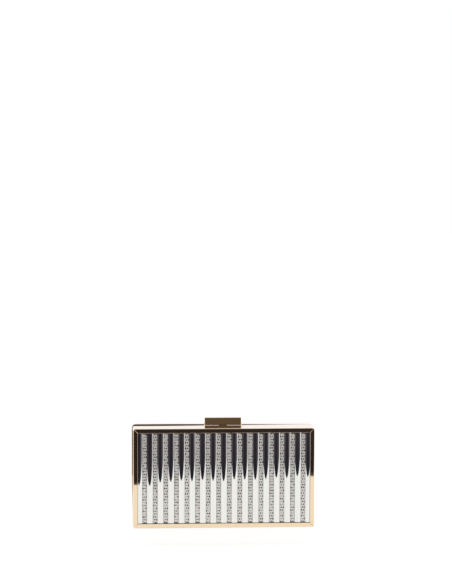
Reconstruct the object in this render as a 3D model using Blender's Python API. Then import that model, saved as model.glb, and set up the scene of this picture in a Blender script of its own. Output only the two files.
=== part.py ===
"""A hard box clutch that opens like a book on a hinge along its foot.

The front half carries a panel of domed ribs and crystal strips, the rear half the clasp.
The clutch stands on its hinge edge with its front towards -Y. The front half turns
forward and down about the hinge pin. The clasp bar tilts back and lifts a nose off the
front half's catch. Lengths are in metres.
"""

import math

import bmesh
import bpy
from mathutils import Vector

# Case
case_width = 0.190
case_height = 0.105
case_depth = 0.045
seam_gap = 0.0003
part_gap = 0.0003
cut_overrun = 0.002

# Frame bars and walls
bar_width = 0.0046
bar_thickness = 0.0020
wall = 0.0012
edge_radius = 0.0008
lip_chamfer = 0.0006
rim_chamfer = 0.0002
rim_band_rise = 0.0013
rim_band_depth = 0.0014
band_gap_room = 0.0005
band_seat_depth = 0.0001
corner_radius = 0.0025
lip_corner_radius = 0.0003

# Front panel: ribs with crystal strips between them, on a board
board_thickness = 0.0015
rib_width = 0.00615
rib_crown = 0.00085
rib_foot = 0.0004
end_rib_part = 0.0018
strip_base = 0.0004
crystal_size = 0.00207
crystal_height = 0.0005

# Rear panel: a padded leather cover on a board
cover_edge = 0.0006
cover_crown = 0.0009

# Lining trays
tray_wall = 0.0015
tray_recess = 0.0008
tray_corner_radius = 0.0030

# Hinge along the foot of the seam
opening_degrees = 90
opening_spare_degrees = 5
knuckle_radius = 0.0013
knuckle_ground_gap = 0.0001
hinge_bore_radius = 0.0008
hinge_end_margin = 0.0050
leaf_thickness = 0.0006
leaf_reach = 0.0090

# Clasp
clasp_tilt_degrees = 8
clasp_bar_length = 0.0390
clasp_bar_height = 0.0072
clasp_bar_depth = 0.0090
clasp_bar_front = 0.0002
clasp_bar_lift = 0.0011
clasp_bar_edge = 0.0007
clasp_socket_depth = 0.0028
clasp_pivot_back = 0.0050
clasp_pivot_drop = 0.0040
clasp_pin_radius = 0.0010
eye_radius = 0.0023
stem_width = 0.0086
stem_thickness = 0.0030
stem_clearance = 0.0005
arm_reach = 0.0060
arm_root_rise = 0.0006
arm_tip_drop = 0.0001
arm_underside_drop = 0.0014
nose_length = 0.0022
nose_drop = 0.0024
heel_reach = 0.0027
heel_drop = 0.0016

# Clasp bracket, catch and spring
bracket_sheet = 0.0008
bracket_nose = 0.0021
bracket_drop = 0.0024
bracket_web_back = 0.0039
catch_width = 0.0080
catch_web_gap = 0.0016
catch_lip_gap = 0.0010
catch_lip_height = 0.0008
spring_width = 0.0050
spring_sheet = 0.0004
spring_clearance = 0.0007
spring_heel = 0.0006
spring_reach = 0.0030
screw_radius = 0.0006
screw_head_radius = 0.0012
screw_head_height = 0.0005
screw_bite = 0.0006
bracket_screw_spacing = 0.0060
catch_screw_spacing = 0.0044

# Counts of repeated pieces, and how finely round forms are divided
rib_count = 17
knuckle_count = 5
crystal_columns = 2
corner_steps = 4
edge_steps = 3
rib_steps = 12
round_steps = 24

# Rise of the leather cover: share of its half height from the edge, and share of the crown
cover_profile_shares = ((0.02, 0.34), (0.08, 0.62), (0.24, 0.85), (0.50, 0.97), (0.80, 1.0))

# Colours: red, green and blue, then roughness and metallic
gold = ((0.87, 0.68, 0.45), 0.16, 1.0)
mirror_silver = ((0.93, 0.93, 0.95), 0.06, 1.0)
crystal = ((0.72, 0.70, 0.66), 0.12, 0.6)
steel = ((0.62, 0.61, 0.59), 0.30, 1.0)
lining_cloth = ((0.05, 0.045, 0.045), 0.90, 0.0)
silver_leather = ((0.66, 0.65, 0.63), 0.42, 0.7)
grey_board = ((0.38, 0.37, 0.35), 0.85, 0.0)

# Worked out from the sizes above
half_depth = (case_depth - seam_gap) / 2
case_back = case_depth / 2
frame_inside = wall + part_gap
window_inset = bar_width + part_gap
board_front = bar_thickness + part_gap
tray_front = board_front + board_thickness + part_gap
tray_rim = half_depth - tray_recess
flange_end = case_back - tray_front - tray_wall - 2 * part_gap
leaf_top = frame_inside + leaf_thickness
hinge_height = knuckle_radius + knuckle_ground_gap
relief_degrees = (180 - opening_degrees) / 2 - opening_spare_degrees
hinge_relief_radius = hinge_height / math.sin(math.radians(relief_degrees))
hinge_length = case_width - 2 * hinge_end_margin
knuckle_length = hinge_length / knuckle_count
tray_low = max(hinge_height + knuckle_radius, leaf_top) + part_gap
rib_length = case_height - 2 * window_inset
rib_pitch = (case_width / 2 - bar_width - end_rib_part) / ((rib_count - 1) / 2)
strip_width = rib_pitch - rib_width - 2 * part_gap
pivot_height = case_height - clasp_pivot_drop
clasp_bar_base = case_height + clasp_bar_lift
stem_front = clasp_pivot_back - stem_thickness / 2
stem_back = clasp_pivot_back + stem_thickness / 2
stem_travel = clasp_pivot_drop * math.tan(math.radians(clasp_tilt_degrees))
ceiling = case_height - wall - part_gap
nose_base = pivot_height - nose_drop
catch_web = -arm_reach - catch_web_gap
catch_lip_back = nose_length - arm_reach + catch_lip_gap + bracket_sheet
catch_lip_top = nose_base - part_gap
catch_foot = catch_lip_top - catch_lip_height
web_front = clasp_pivot_back + bracket_web_back
bracket_inside = stem_width / 2 + part_gap
clasp_pin_half = bracket_inside + bracket_sheet + part_gap
tray_notch_half = clasp_pin_half + stem_clearance


def clear_scene():
    for obj in list(bpy.data.objects):
        bpy.data.objects.remove(obj, do_unlink=True)
    for mesh in list(bpy.data.meshes):
        bpy.data.meshes.remove(mesh)


def finish(name, look):
    """A Principled material with a colour, a roughness and a metallic value."""
    colour, roughness, metallic = look
    material = bpy.data.materials.new(name)
    material.use_nodes = True
    shader = material.node_tree.nodes["Principled BSDF"]
    shader.inputs["Base Color"].default_value = (*colour, 1)
    shader.inputs["Roughness"].default_value = roughness
    shader.inputs["Metallic"].default_value = metallic
    return material


# Solids

def mesh_from(name, bm, smooth=False):
    """Close the bmesh into mesh data, with its faces pointing out."""
    bmesh.ops.recalc_face_normals(bm, faces=bm.faces)
    mesh = bpy.data.meshes.new(name)
    bm.to_mesh(mesh)
    bm.free()
    if smooth:
        mesh.shade_smooth()
        mesh.set_sharp_from_angle(angle=math.radians(35))
    return mesh


def loft(rings, joined=False):
    """Skin rings of equal point counts. The end rings are capped, or joined to each other."""
    bm = bmesh.new()
    loops = [[bm.verts.new(point) for point in ring] for ring in rings]
    followers = loops[1:] + loops[:1] if joined else loops[1:]
    for near, far in zip(loops, followers):
        for i in range(len(near)):
            j = (i + 1) % len(near)
            bm.faces.new((near[i], near[j], far[j], far[i]))
    if not joined:
        bm.faces.new(loops[0])
        bm.faces.new(loops[-1])
    return bm


def extruded(outline, x_low, x_high):
    """A prism whose outline is given in Y and Z."""
    return loft([[(x, y, z) for y, z in outline] for x in (x_low, x_high)])


def block(low, high):
    outline = ((low[1], low[2]), (high[1], low[2]), (high[1], high[2]), (low[1], high[2]))
    return extruded(outline, low[0], high[0])


def circle(radius, across=0, up=0):
    turns = [2 * math.pi * step / round_steps for step in range(round_steps)]
    return [(across + radius * math.cos(turn), up + radius * math.sin(turn)) for turn in turns]


def rod(x_low, x_high, y, z, radius):
    return extruded(circle(radius, y, z), x_low, x_high)


def turned(profile):
    """A solid turned about Z from (radius, height) pairs."""
    return loft([[(x, y, height) for x, y in circle(radius)] for radius, height in profile])


def rounded_outline(half_width, low, high, radius):
    """An upright rectangle with round corners, in X and Z."""
    points = []
    corners = ((1, low + radius, -90), (1, high - radius, 0), (-1, high - radius, 90), (-1, low + radius, 180))
    for side, centre_z, start in corners:
        for step in range(corner_steps + 1):
            angle = math.radians(start + 90 * step / corner_steps)
            x = side * (half_width - radius) + radius * math.cos(angle)
            points.append((x, centre_z + radius * math.sin(angle)))
    return points


def case_outline(inset):
    """The case's outline seen from the front, moved in by inset. Moved out, it keeps its foot."""
    radius = max(corner_radius - inset, lip_corner_radius)
    return rounded_outline(case_width / 2 - inset, max(inset, 0), case_height - inset, radius)


def at_depth(outline, side, depth):
    """Stand an X and Z outline at a depth behind the front face (side -1) or the rear face (1)."""
    return [(x, side * (case_back - depth), z) for x, z in outline]


# Objects

def place(name, mesh, material, parent=None, location=(0, 0, 0)):
    """Add an object at a world place, under the empty that carries its joint's axis."""
    obj = bpy.data.objects.new(name, mesh)
    if not mesh.materials:
        mesh.materials.append(material)
    bpy.context.scene.collection.objects.link(obj)
    obj.location = Vector(location)
    if parent:
        obj.parent = parent
        obj.location -= parent.location
    return obj


def axis_empty(name, location):
    empty = bpy.data.objects.new(name, None)
    empty.location = location
    empty.empty_display_size = hinge_relief_radius
    bpy.context.scene.collection.objects.link(empty)
    return empty


def combine(target, operation, name, bm):
    """Join a tool solid to the target or cut it out, with a Boolean that stays live."""
    tool = bpy.data.objects.new(name, mesh_from(name, bm))
    bpy.context.scene.collection.objects.link(tool)
    tool.hide_render = True
    tool.display_type = "WIRE"
    step = target.modifiers.new(name, "BOOLEAN")
    step.operation = operation
    step.solver = "EXACT"
    step.object = tool


# Case halves

def frame_profile(band_rise):
    """The frame's section as (depth, inset) pairs: rim and its band, wall, rounded edge, bar and lip."""
    profile = [(half_depth, rim_chamfer - band_rise), (half_depth - rim_chamfer, -band_rise)]
    if band_rise:
        band_start = half_depth - rim_band_depth
        profile += [(band_start + rim_chamfer, -band_rise), (band_start, 0)]
    for step in range(edge_steps + 1):
        angle = math.radians(90 * step / edge_steps)
        depth = edge_radius * (1 - math.sin(angle))
        profile.append((depth, edge_radius * (1 - math.cos(angle))))
    profile.append((0, bar_width - lip_chamfer))
    profile.append((lip_chamfer, bar_width))
    profile.append((bar_thickness, bar_width))
    profile.append((bar_thickness, wall))
    profile.append((half_depth, wall))
    return profile


def build_frame(name, side, band_rise, material, parent=None):
    rings = [at_depth(case_outline(inset), side, depth) for depth, inset in frame_profile(band_rise)]
    frame = place(name, mesh_from(name, loft(rings, joined=True), smooth=True), material, parent)
    reach = case_width / 2 + cut_overrun
    combine(frame, "DIFFERENCE", name + "_hinge_relief", rod(-reach, reach, 0, hinge_height, hinge_relief_radius))
    return frame


def build_board(name, side, material, parent=None):
    outline = case_outline(frame_inside)
    depths = (board_front, board_front + board_thickness)
    rings = [at_depth(outline, side, depth) for depth in depths]
    place(name, mesh_from(name, loft(rings)), material, parent)


def build_tray(name, side, material, parent=None):
    """An open lining tray. Its top wall is notched for the clasp, from the rim to the flange's end."""
    half_width = case_width / 2 - frame_inside
    outside = rounded_outline(half_width, tray_low, ceiling, tray_corner_radius)
    inside = rounded_outline(half_width - tray_wall, tray_low + tray_wall, ceiling - tray_wall,
                             tray_corner_radius - tray_wall)
    rings = [at_depth(outside, side, tray_front), at_depth(outside, side, tray_rim),
             at_depth(inside, side, tray_rim), at_depth(inside, side, tray_front + tray_wall)]
    tray = place(name, mesh_from(name, loft(rings)), material, parent)
    notch_end = side * (flange_end + part_gap)
    low = (-tray_notch_half, min(0, notch_end), ceiling - tray_wall - cut_overrun)
    high = (tray_notch_half, max(0, notch_end), ceiling + cut_overrun)
    combine(tray, "DIFFERENCE", name + "_notch", block(low, high))


def build_cover(name, material):
    """The padded leather cover of the rear face, crowned from its edges."""
    rings = [at_depth(case_outline(window_inset), 1, bar_thickness),
             at_depth(case_outline(window_inset), 1, bar_thickness - cover_edge)]
    for inset_share, crown_share in cover_profile_shares:
        inset = window_inset + inset_share * rib_length / 2
        rings.append(at_depth(case_outline(inset), 1, bar_thickness - cover_edge - crown_share * cover_crown))
    place(name, mesh_from(name, loft(rings), smooth=True), material)


# Ribbed front panel

def rib_height(across):
    """Height of the domed rib above its foot, at a distance from its middle."""
    radius = ((rib_width / 2) ** 2 + rib_crown ** 2) / (2 * rib_crown)
    return rib_foot + rib_crown - radius + math.sqrt(radius ** 2 - across ** 2)


def rib_mesh(name, left, right):
    """A rib that stands on its end. It spans left to right about its middle, domed towards -Y."""
    outline = [(right, 0), (left, 0)]
    for step in range(rib_steps + 1):
        across = left + (right - left) * step / rib_steps
        outline.append((across, -rib_height(across)))
    rings = [[(x, y, z) for x, y in outline] for z in (0, rib_length)]
    return mesh_from(name, loft(rings), smooth=True)


def build_ribs(material, parent):
    """Full ribs, and at each end one that the frame's side bar cuts short."""
    half = rib_width / 2
    cut = end_rib_part - part_gap
    full = rib_mesh("full_rib", -half, half)
    first = rib_mesh("left_end_rib", -cut, half)
    last = rib_mesh("right_end_rib", -half, cut)
    for index in range(rib_count):
        mesh = {0: first, rib_count - 1: last}.get(index, full)
        x = (index - (rib_count - 1) / 2) * rib_pitch
        place(f"rib_{index + 1:02d}", mesh, material, parent, (x, bar_thickness - case_back, window_inset))


def skirt(bm, edge, start_foot, end_foot):
    """Close the side below a row of points, down to two foot points."""
    middle = len(edge) // 2
    for i in range(len(edge) - 1):
        bm.faces.new((start_foot if i < middle else end_foot, edge[i], edge[i + 1]))
    bm.faces.new((start_foot, edge[middle], end_foot))


def crystal_strip_mesh():
    """A band of pointed stones in rows and columns, on a base, standing on its end."""
    rows = round(rib_length / crystal_size)
    bm = bmesh.new()
    grid = [[bm.verts.new((strip_width * (column / crystal_columns - 1 / 2), -strip_base, rib_length * row / rows))
             for column in range(crystal_columns + 1)] for row in range(rows + 1)]
    for row in range(rows):
        for column in range(crystal_columns):
            ring = (grid[row][column], grid[row][column + 1], grid[row + 1][column + 1], grid[row + 1][column])
            centre = sum((corner.co for corner in ring), Vector()) / len(ring)
            point = bm.verts.new(centre - Vector((0, crystal_height, 0)))
            for i in range(len(ring)):
                bm.faces.new((ring[i], ring[(i + 1) % len(ring)], point))
    feet = [[bm.verts.new((x, 0, z)) for x in (-strip_width / 2, strip_width / 2)] for z in (0, rib_length)]
    skirt(bm, grid[0], feet[0][0], feet[0][1])
    skirt(bm, grid[-1], feet[1][0], feet[1][1])
    skirt(bm, [line[0] for line in grid], feet[0][0], feet[1][0])
    skirt(bm, [line[-1] for line in grid], feet[0][1], feet[1][1])
    bm.faces.new((feet[0][0], feet[0][1], feet[1][1], feet[1][0]))
    return mesh_from("crystal_strip", bm)


def build_crystal_strips(material, parent):
    mesh = crystal_strip_mesh()
    for index in range(rib_count - 1):
        x = (index + 1 - rib_count / 2) * rib_pitch
        location = (x, bar_thickness - case_back, window_inset)
        place(f"crystal_strip_{index + 1:02d}", mesh, material, parent, location)


# Hinge

def build_hinge_leaf(name, side, first_knuckle, material, parent=None):
    """A leaf whose every second knuckle, from first_knuckle, rolls round the pin."""
    near = side * (knuckle_radius + 2 * part_gap)
    far = side * leaf_reach
    tab_end = side * (knuckle_radius + hinge_bore_radius) / 2
    low = (-hinge_length / 2 + part_gap, min(near, far), frame_inside)
    high = (hinge_length / 2 - part_gap, max(near, far), leaf_top)
    leaf = place(name, mesh_from(name, block(low, high)), material, parent)
    for index in range(first_knuckle, knuckle_count, 2):
        start = index * knuckle_length - hinge_length / 2 + part_gap
        end = start + knuckle_length - 2 * part_gap
        tab_low = (start, min(tab_end, far), frame_inside)
        tab_high = (end, max(tab_end, far), leaf_top)
        combine(leaf, "UNION", f"{name}_tab_{index}", block(tab_low, tab_high))
        combine(leaf, "UNION", f"{name}_knuckle_{index}", rod(start, end, 0, hinge_height, knuckle_radius))
    reach = hinge_length / 2 + cut_overrun
    combine(leaf, "DIFFERENCE", name + "_bore", rod(-reach, reach, 0, hinge_height, hinge_bore_radius))


def build_hinge_pin(material):
    half = hinge_length / 2
    pin = rod(-half, half, 0, hinge_height, hinge_bore_radius - part_gap)
    place("hinge_pin", mesh_from("hinge_pin", pin, smooth=True), material)


# Clasp: positions are in world Y and Z, and every piece is centred on X

def build_clasp_bar(material, parent):
    low = Vector((-clasp_bar_length / 2, clasp_bar_front, clasp_bar_base))
    high = low + Vector((clasp_bar_length, clasp_bar_depth, clasp_bar_height))
    bm = block(low, high)
    bmesh.ops.bevel(bm, geom=bm.edges[:], offset=clasp_bar_edge, segments=edge_steps, affect="EDGES", profile=0.5)
    bar = place("clasp_bar", mesh_from("clasp_bar", bm, smooth=True), material, parent)
    socket_low = (-bracket_inside, stem_front - part_gap, clasp_bar_base - cut_overrun)
    socket_high = (bracket_inside, stem_back + part_gap, clasp_bar_base + clasp_socket_depth)
    combine(bar, "DIFFERENCE", "clasp_bar_socket", block(socket_low, socket_high))


def build_clasp_rocker(material, parent):
    """The lever under the bar: stem, pivot eye, forward arm with its nose, and heel."""
    stem_top = clasp_bar_base + clasp_socket_depth - part_gap
    arm_top = pivot_height + arm_root_rise
    tip_top = pivot_height - arm_tip_drop
    underside = pivot_height - arm_underside_drop
    heel_back = clasp_pivot_back + heel_reach
    heel_base = pivot_height - heel_drop
    outline = (
        (stem_front, stem_top), (stem_front, arm_top), (-arm_reach, tip_top),
        (-arm_reach, nose_base), (nose_length - arm_reach, nose_base), (nose_length - arm_reach, underside),
        (stem_front, underside), (clasp_pivot_back, heel_base), (heel_back, heel_base),
        (heel_back, arm_top), (stem_back, arm_top), (stem_back, stem_top),
    )
    half = stem_width / 2
    rocker = place("clasp_rocker", mesh_from("clasp_rocker", extruded(outline, -half, half)), material, parent)
    combine(rocker, "UNION", "clasp_rocker_eye", rod(-half, half, clasp_pivot_back, pivot_height, eye_radius))
    bore = rod(-half - cut_overrun, half + cut_overrun, clasp_pivot_back, pivot_height, clasp_pin_radius + part_gap)
    combine(rocker, "DIFFERENCE", "clasp_rocker_bore", bore)


def build_clasp_pin(material):
    pin = rod(-clasp_pin_half, clasp_pin_half, clasp_pivot_back, pivot_height, clasp_pin_radius)
    place("clasp_pin", mesh_from("clasp_pin", pin, smooth=True), material)


def screw_hole(x, y):
    """A cutter for a screw that is driven up into the case's top wall."""
    radius = screw_radius + part_gap
    top = case_height - wall + screw_bite + part_gap
    bottom = ceiling - bracket_sheet - cut_overrun
    return loft([[(x + dx, y + dy, z) for dx, dy in circle(radius)] for z in (bottom, top)])


def build_screws(name, spacing, y, holed, material, parent=None):
    """Two screws, driven up through a flange under the top wall. holed lists what they pass."""
    head_top = ceiling - bracket_sheet - part_gap
    profile = ((screw_head_radius - screw_head_height / 2, head_top - screw_head_height),
               (screw_head_radius, head_top - screw_head_height / 2), (screw_head_radius, head_top),
               (screw_radius, head_top), (screw_radius, case_height - wall + screw_bite))
    mesh = mesh_from(name, turned(profile), smooth=True)
    for side_name, side in (("left", -1), ("right", 1)):
        x = side * spacing / 2
        place(f"{name}_{side_name}", mesh, material, parent, (x, y, 0))
        for piece in holed:
            combine(piece, "DIFFERENCE", f"{piece.name}_{name}_{side_name}_hole", screw_hole(x, y))


def build_clasp_bracket(frame, material, screw_material):
    """A U of sheet that carries the pin between two ears, hung from a flange on two screws."""
    outside = bracket_inside + bracket_sheet
    ear_front = clasp_pivot_back - bracket_nose
    web_back = web_front + bracket_sheet
    low = pivot_height - bracket_drop
    body = block((-outside, ear_front, low), (outside, web_back, ceiling))
    bracket = place("clasp_bracket", mesh_from("clasp_bracket", body), material)
    inside_low = (-bracket_inside, ear_front - cut_overrun, low - cut_overrun)
    inside_high = (bracket_inside, web_front, ceiling + cut_overrun)
    combine(bracket, "DIFFERENCE", "clasp_bracket_inside", block(inside_low, inside_high))
    flange = block((-outside, web_front, ceiling - bracket_sheet), (outside, flange_end, ceiling))
    combine(bracket, "UNION", "clasp_bracket_flange", flange)
    reach = outside + cut_overrun
    bore = rod(-reach, reach, clasp_pivot_back, pivot_height, clasp_pin_radius + part_gap)
    combine(bracket, "DIFFERENCE", "clasp_bracket_bore", bore)
    screw_y = (web_back + flange_end) / 2
    build_screws("bracket_screw", bracket_screw_spacing, screw_y, (bracket, frame), screw_material)


def build_catch_plate(frame, material, screw_material, parent):
    """A J of sheet under the front half's top wall, with an upturned lip behind the nose."""
    web_front_y = catch_web - bracket_sheet
    foot_low = catch_foot - bracket_sheet
    lip_front = catch_lip_back - bracket_sheet
    outline = (
        (-flange_end, ceiling), (-flange_end, ceiling - bracket_sheet), (web_front_y, ceiling - bracket_sheet),
        (web_front_y, foot_low), (catch_lip_back, foot_low), (catch_lip_back, catch_lip_top),
        (lip_front, catch_lip_top), (lip_front, catch_foot), (catch_web, catch_foot), (catch_web, ceiling),
    )
    half = catch_width / 2
    catch = place("catch_plate", mesh_from("catch_plate", extruded(outline, -half, half)), material, parent)
    screw_y = (web_front_y - flange_end) / 2
    build_screws("catch_screw", catch_screw_spacing, screw_y, (catch, frame), screw_material, parent)


def build_clasp_spring(material):
    """A bent leaf that stands against the bracket's web and reaches under the rocker's heel."""
    top = pivot_height - heel_drop - spring_clearance
    back = web_front - part_gap
    front = back - spring_reach
    rise = pivot_height + spring_heel
    outline = (
        (front, top), (back - spring_sheet, top), (back - spring_sheet, rise), (back, rise),
        (back, top - spring_sheet), (front, top - spring_sheet),
    )
    half = spring_width / 2
    place("clasp_spring", mesh_from("clasp_spring", extruded(outline, -half, half)), material)


def cut_clasp_slot(frame):
    """The slot in the rear half's top wall that the stem tilts in."""
    half = stem_width / 2 + stem_clearance
    low = (-half, stem_front - stem_clearance, case_height - wall - cut_overrun)
    high = (half, stem_back + stem_travel + stem_clearance, case_height + cut_overrun)
    combine(frame, "DIFFERENCE", "rear_frame_clasp_slot", block(low, high))


def cut_band_gap(frame):
    """The gap that the clasp bar needs in the rear rim's band, with a shallow seat below the bar."""
    half = clasp_bar_length / 2 + band_gap_room
    low = (-half, 0, case_height - band_seat_depth)
    high = (half, stem_front, case_height + rim_band_rise + cut_overrun)
    combine(frame, "DIFFERENCE", "rear_frame_band_gap", block(low, high))


def main():
    clear_scene()
    gold_finish = finish("gold", gold)
    silver_finish = finish("mirror_silver", mirror_silver)
    crystal_finish = finish("crystal", crystal)
    steel_finish = finish("steel", steel)
    lining_finish = finish("lining_cloth", lining_cloth)
    leather_finish = finish("silver_leather", silver_leather)
    board_finish = finish("grey_board", grey_board)

    front_axis = axis_empty("front_half_axis", (0, 0, hinge_height))
    clasp_axis = axis_empty("clasp_axis", (0, clasp_pivot_back, pivot_height))

    front_frame = build_frame("front_frame", -1, 0, gold_finish, front_axis)
    rear_frame = build_frame("rear_frame", 1, rim_band_rise, gold_finish)
    cut_clasp_slot(rear_frame)
    cut_band_gap(rear_frame)

    build_board("front_board", -1, board_finish, front_axis)
    build_board("rear_board", 1, board_finish)
    build_ribs(silver_finish, front_axis)
    build_crystal_strips(crystal_finish, front_axis)
    build_cover("rear_cover", leather_finish)

    build_tray("front_tray", -1, lining_finish, front_axis)
    build_tray("rear_tray", 1, lining_finish)

    build_hinge_leaf("front_hinge_leaf", -1, 1, gold_finish, front_axis)
    build_hinge_leaf("rear_hinge_leaf", 1, 0, gold_finish)
    build_hinge_pin(steel_finish)

    build_clasp_bar(gold_finish, clasp_axis)
    build_clasp_rocker(steel_finish, clasp_axis)
    build_clasp_pin(steel_finish)
    build_clasp_bracket(rear_frame, steel_finish, steel_finish)
    build_catch_plate(front_frame, steel_finish, steel_finish, front_axis)
    build_clasp_spring(steel_finish)


main()
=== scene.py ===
"""Looks of a hard box clutch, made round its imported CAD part.

Each operator makes one piece, or a group of like pieces, in place of the CAD nodes that it
stands for. Lengths are in metres, in the part's own frame: the ribbed front faces -Y.
"""

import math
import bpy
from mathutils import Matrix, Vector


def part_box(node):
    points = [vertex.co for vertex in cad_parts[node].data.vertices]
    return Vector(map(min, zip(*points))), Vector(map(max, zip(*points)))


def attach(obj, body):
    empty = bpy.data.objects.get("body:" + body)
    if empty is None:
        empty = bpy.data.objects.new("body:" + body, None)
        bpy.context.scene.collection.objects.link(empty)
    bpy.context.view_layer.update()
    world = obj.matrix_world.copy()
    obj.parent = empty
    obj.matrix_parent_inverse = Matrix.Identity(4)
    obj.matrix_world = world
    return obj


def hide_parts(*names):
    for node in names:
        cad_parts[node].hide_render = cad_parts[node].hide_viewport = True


bl_info = {
    "name": "Box clutch looks",
    "version": (1, 0, 0),
    "blender": (4, 5, 0),
    "location": "3D View > Sidebar > Clutch",
    "description": "Makes the pieces, the finishes and the stage of a hard box clutch",
    "category": "Object",
}

import bmesh
import bpy
from bpy.props import FloatProperty, FloatVectorProperty, IntProperty, PointerProperty
from mathutils import Matrix, Vector

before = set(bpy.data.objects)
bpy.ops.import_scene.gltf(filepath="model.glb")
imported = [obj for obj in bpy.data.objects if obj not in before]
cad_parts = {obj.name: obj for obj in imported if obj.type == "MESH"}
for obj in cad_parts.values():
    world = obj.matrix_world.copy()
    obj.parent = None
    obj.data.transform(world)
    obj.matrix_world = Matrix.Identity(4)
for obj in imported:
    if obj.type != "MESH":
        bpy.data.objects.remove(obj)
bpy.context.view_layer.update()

# What the CAD boxes say
case_low, case_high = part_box("front_frame")
rear_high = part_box("rear_frame")[1]
rib_low, rib_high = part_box("rib_02")
strip_low, strip_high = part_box("crystal_strip_01")
next_strip_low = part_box("crystal_strip_02")[0]
cover_low, cover_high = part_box("rear_cover")
bar_low, bar_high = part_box("clasp_bar")
rocker_low, rocker_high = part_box("clasp_rocker")
pin_low, pin_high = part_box("hinge_pin")

case_half = case_high.x
case_height = case_high.z
face_depth = -case_low.y
seam_half = -case_high.y
band_rise = rear_high.z - case_height
rib_names = sorted(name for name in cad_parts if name.startswith("rib_"))
strip_names = sorted(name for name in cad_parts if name.startswith("crystal_strip_"))
panel_pitch = next_strip_low.x - strip_low.x
panel_middle = (rib_low.z + rib_high.z) / 2
panel_length = rib_high.z - rib_low.z

# Edges that turn by less than this look smooth
SMOOTH_ANGLE = math.radians(35)
# Distance of a support line from a rounding, and distance within which points become one, in metres
SUPPORT = 0.0002
WELD = 1e-6
RIGHT_ANGLE = math.pi / 2


# Settings

def length(name, default, description, least=0):
    return FloatProperty(name=name, description=description, default=default, min=least, precision=5,
                         subtype="DISTANCE", unit="LENGTH")


def place(name, default, description):
    return FloatVectorProperty(name=name, description=description, default=default, size=3, precision=4,
                               subtype="TRANSLATION", unit="LENGTH")


def colour(name, default, description):
    return FloatVectorProperty(name=name, description=description, default=default, min=0, max=1, size=3,
                               subtype="COLOR")


def amount(name, default, description):
    return FloatProperty(name=name, description=description, default=default, min=0)


def count(name, default, description):
    return IntProperty(name=name, description=description, default=default, min=1)


def share(name, default, description):
    return FloatProperty(name=name, description=description, default=default, min=0, max=1,
                         subtype="FACTOR")


def angle(name, default, description):
    return FloatProperty(name=name, description=description, default=math.radians(default), subtype="ANGLE")


class FrameSettings(bpy.types.PropertyGroup):
    """Both halves of the metal case."""

    gold: colour("Gold", (0.897, 0.726, 0.524), "Colour of the light gold plate")
    worn: colour("Worn gold", (0.76, 0.64, 0.50), "Colour of the plate where it is rubbed")
    # Painted shade: a darker plate colour in the seam between the halves, where shade falls.
    seam_shade: colour("Seam shade", (0.30, 0.20, 0.12), "Colour of the plate in the seam")
    bar_width: length("Bar width", 0.0046, "Width of the bars round each face")
    bar_thickness: length("Bar thickness", 0.0020, "Thickness of the bars")
    wall: length("Wall", 0.0012, "Thickness of the walls between face and seam")
    edge_radius: length("Edge radius", 0.00075, "Rounding between bar and wall")
    corner_radius: length("Corner radius", 0.0025, "Rounding of the case's corners")
    inner_corner: length("Inner corner", 0.0005, "Rounding of the bars' inner corners")
    lip: length("Lip", 0.00015, "Bevel along the bars' inner edge")
    rim_bevel: length("Rim bevel", 0.00005, "Bevel along the rims at the seam")
    draft: length("Draft", 0.0007, "How far the walls widen from the face to the seam")
    bow_room: length("Bow room", 0.00017, "How far the front stands back to have room to bend")
    band_height: length("Band height", 0.0010, "How far the band on the rear rim stands out")
    band_depth: length("Band depth", 0.0014, "Width of the raised band on the rear rim")
    band_chamfer: length("Band chamfer", 0.00028, "Chamfer along the upright parts of the band")
    mitre_width: length("Mitre width", 0.0003, "Width of the line where two bars meet")
    mitre_depth: length("Mitre depth", 0.0004, "Depth of the line where two bars meet")
    seat_half: length("Seat half length", 0.0200, "Half the length of the band's gap for the clasp bar")
    seat_depth: length("Seat depth", 0.0001, "Depth of the seat under the clasp bar")
    seat_back: length("Seat back", 0.0120, "How far the seat reaches back from the seam")
    slot_half: length("Slot half length", 0.0048, "Half the length of the clasp stem's slot")
    slot_front: length("Slot front", 0.0030, "Place of the slot's front edge behind the seam")
    slot_back: length("Slot back", 0.00756, "Place of the slot's back edge behind the seam")
    relief_angle: angle("Relief angle", 40, "Angle that sets how far the hinge's hollow reaches")


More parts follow.
